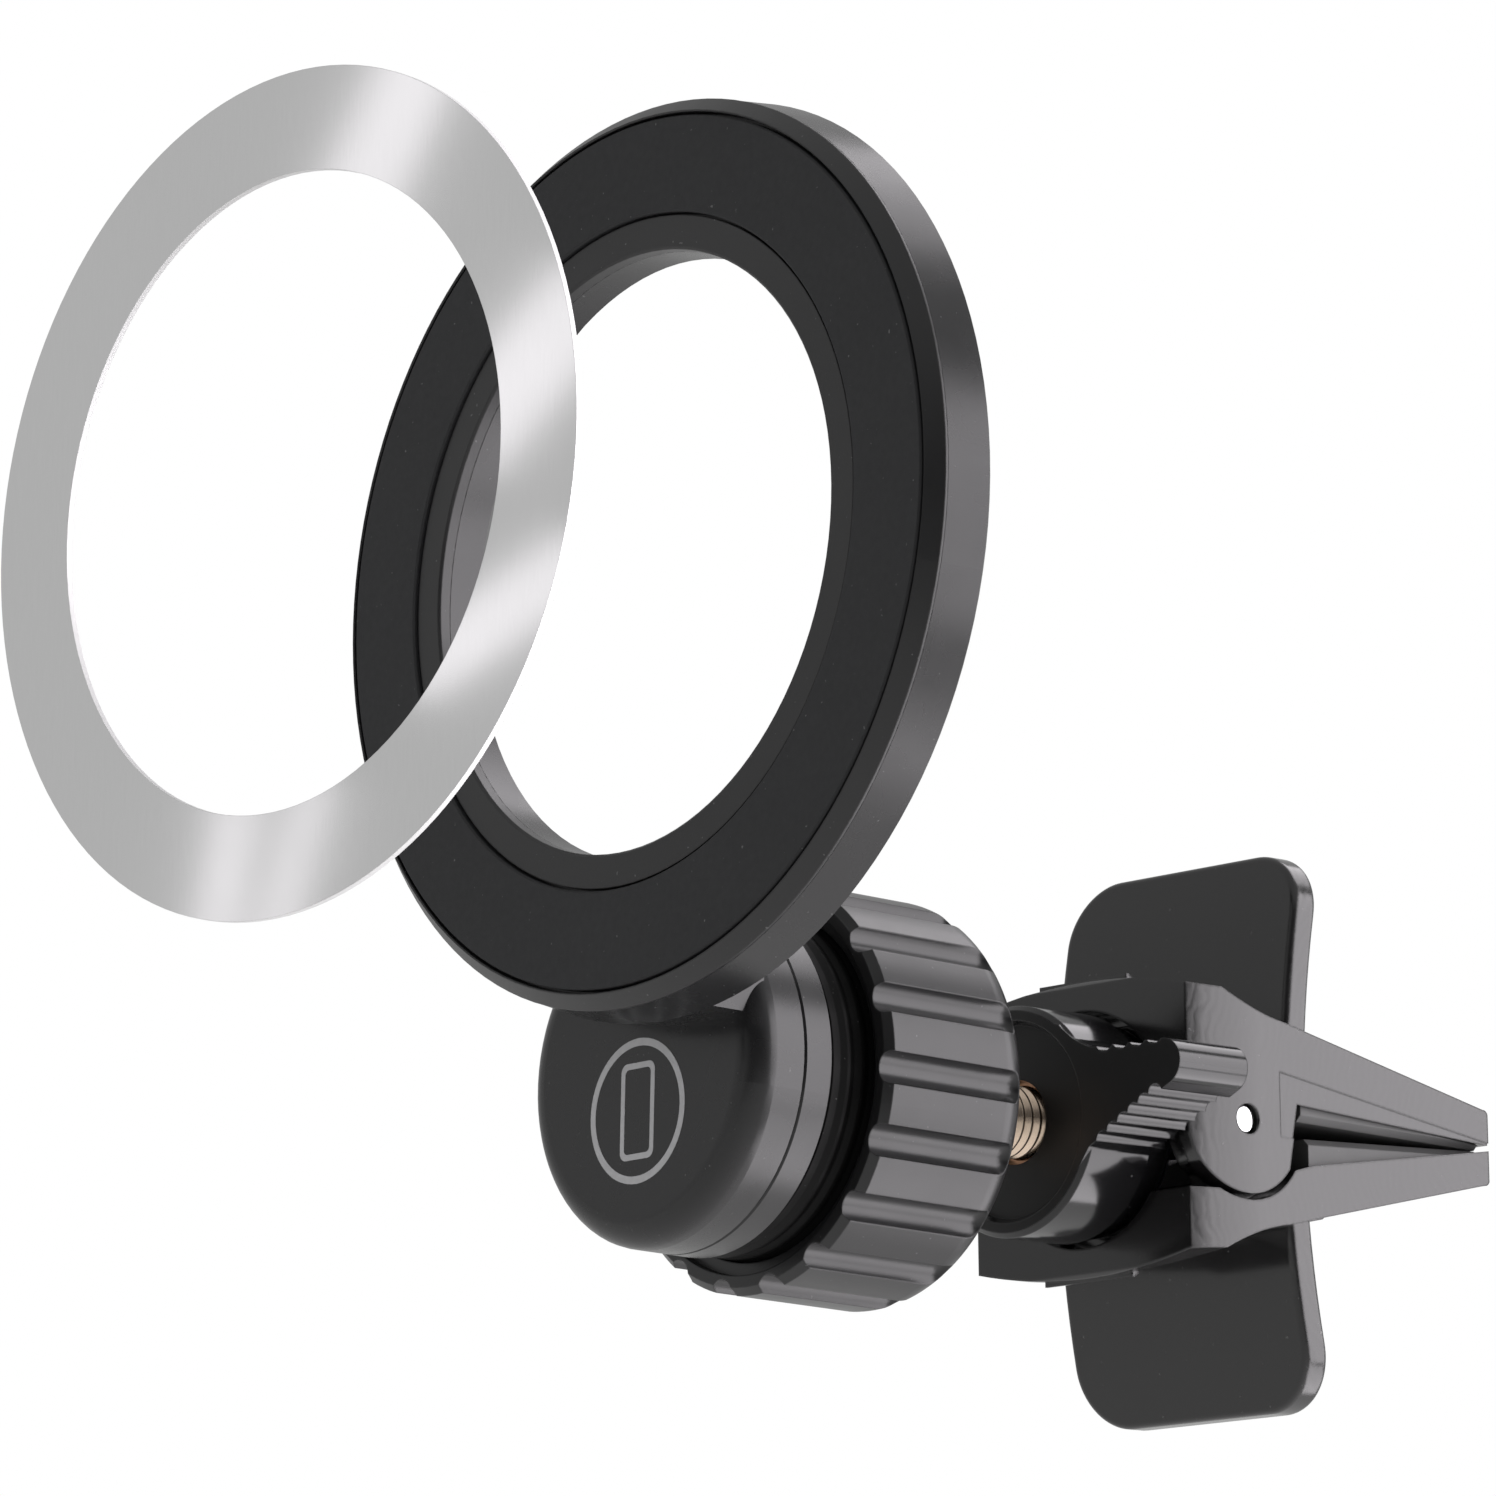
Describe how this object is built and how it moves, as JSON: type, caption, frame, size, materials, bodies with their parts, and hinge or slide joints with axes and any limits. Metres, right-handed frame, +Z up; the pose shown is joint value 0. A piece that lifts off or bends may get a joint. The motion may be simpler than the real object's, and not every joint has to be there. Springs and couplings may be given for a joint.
{
  "type": "car phone mount",
  "caption": "Magnetic ring phone holder on a locking ball joint, with a twist-to-clamp air vent clip and a loose steel ring plate for the phone.",
  "frame": {"origin": "midway between the clip's jaw tips, where the vent blade is gripped", "axes": "+Y from the phone side into the air vent, +X to the right seen from the phone side, +Z up"},
  "size_m": [0.0607, 0.105, 0.083],
  "materials": {
    "gloss_black": "glossy moulded black plastic",
    "satin_black": "satin moulded black plastic",
    "black_pad": "matte black soft-touch pad",
    "jaw_rubber": "dark grey rubber",
    "magnet": "nickel-plated magnet",
    "plate_steel": "thin bright steel",
    "pin_steel": "polished steel pin",
    "spring_steel": "spring wire",
    "bronze": "copper-toned screw thread",
    "nylon": "dark nylon"
  },
  "bodies": {
    "clip_frame": {"ball": "satin_black", "lead_screw": "bronze", "clip_core": "satin_black", "hinge_pin": "pin_steel", "torsion_springs": "spring_steel"},
    "knob_carrier": {"thrust_washer": "spring_steel"},
    "knob": {"twist_knob": "gloss_black", "knob_insert": "bronze"},
    "upper_jaw": {"upper_jaw": "gloss_black", "upper_jaw_pad": "jaw_rubber"},
    "lower_jaw": {"lower_jaw": "gloss_black", "lower_jaw_pad": "jaw_rubber"},
    "ball_stage_yaw": {"ball_seat_rear": "nylon"},
    "ball_stage_pitch": {"ball_seat_front": "nylon"},
    "head": {"ring_bezel": "gloss_black", "contact_pad": "black_pad", "ring_magnets": "magnet", "backing_ring": "spring_steel", "head_frame": "gloss_black", "puck_rear_shell": "gloss_black", "housing_screws": "spring_steel", "ball_socket": "satin_black"},
    "nut_carrier": {"clamp_ring": "nylon"},
    "nut": {"lock_nut": "satin_black"},
    "phone_plate": {"steel_plate": "plate_steel"}
  },
  "joints": [
    {"name": "knob_travel", "type": "slide", "parent": "clip_frame", "child": "knob_carrier", "axis": [0, -1, 0], "range_m": [0, 0.00075]},
    {"name": "knob_turn", "type": "hinge", "parent": "knob_carrier", "child": "knob", "pos_m": [0, -0.0364, 0], "axis": [0, -1, 0], "range_deg": [0, 337.6]},
    {"name": "upper_jaw_open", "type": "hinge", "parent": "clip_frame", "child": "upper_jaw", "pos_m": [0, -0.0245, 0], "axis": [1, 0, 0], "range_deg": [0, 6.05]},
    {"name": "lower_jaw_open", "type": "hinge", "parent": "clip_frame", "child": "lower_jaw", "pos_m": [0, -0.0245, 0], "axis": [-1, 0, 0], "range_deg": [0, 6.05]},
    {"name": "head_yaw", "type": "hinge", "parent": "clip_frame", "child": "ball_stage_yaw", "pos_m": [0, -0.0521, 0], "axis": [0, 0, 1], "range_deg": [-20.6, 25.4]},
    {"name": "head_pitch", "type": "hinge", "parent": "ball_stage_yaw", "child": "ball_stage_pitch", "pos_m": [0, -0.0521, 0], "axis": [0.9991, -0.0419, 0], "range_deg": [-20.7, 25.3]},
    {"name": "head_roll", "type": "hinge", "parent": "ball_stage_pitch", "child": "head", "pos_m": [0, -0.0521, 0], "axis": [0.0418, 0.9983, -0.0401], "continuous": true},
    {"name": "nut_travel", "type": "slide", "parent": "head", "child": "nut_carrier", "axis": [0.0418, 0.9983, -0.0401], "range_m": [0, 0.0012]},
    {"name": "nut_turn", "type": "hinge", "parent": "nut_carrier", "child": "nut", "pos_m": [0, -0.0521, 0], "axis": [0.0418, 0.9983, -0.0401], "range_deg": [0, 360]},
    {"name": "plate_seat", "type": "hinge", "parent": "head", "child": "phone_plate", "pos_m": [0.33768, -0.10662, -0.03198], "axis": [-0.1922, 0.0087, -0.9813], "range_deg": [0, 4.63]}
  ],
  "couplings": [
    {"joint": "knob_turn", "follows": "knob_travel", "rad_per_m": 7854},
    {"joint": "upper_jaw_open", "follows": "knob_travel", "rad_per_m": 139.5},
    {"joint": "lower_jaw_open", "follows": "knob_travel", "rad_per_m": 139.5},
    {"joint": "nut_turn", "follows": "nut_travel", "rad_per_m": 5236}
  ]
}
